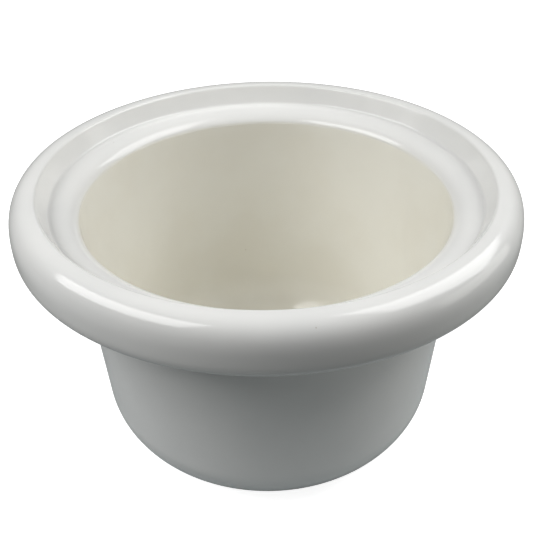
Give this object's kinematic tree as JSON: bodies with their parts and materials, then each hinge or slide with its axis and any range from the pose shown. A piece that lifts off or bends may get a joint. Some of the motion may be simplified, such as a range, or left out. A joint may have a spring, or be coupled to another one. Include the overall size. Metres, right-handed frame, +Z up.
{
  "type": "shaving bowl",
  "caption": "Deep glazed ceramic shaving bowl with a fat rolled rim, a stepped seat inside the rim, a tapered wall and a big round corner down to a flat foot ring.",
  "frame": {"origin": "centre of the foot ring, on the surface the bowl stands on", "axes": "+Z up along the bowl's axis of revolution; +X and +Y are any two square directions, since the bowl is round"},
  "size_m": [0.15, 0.15, 0.09],
  "materials": {
    "fired_clay": "matt unglazed fired clay, seen only at the foot",
    "white_glaze": "high gloss white glaze with a faint ripple and a few pinholes",
    "ivory_glaze": "high gloss ivory glaze"
  },
  "bodies": {
    "root": {"clay_body": "fired_clay", "white_outer_glaze": "white_glaze", "ivory_well_glaze": "ivory_glaze"}
  },
  "joints": []
}
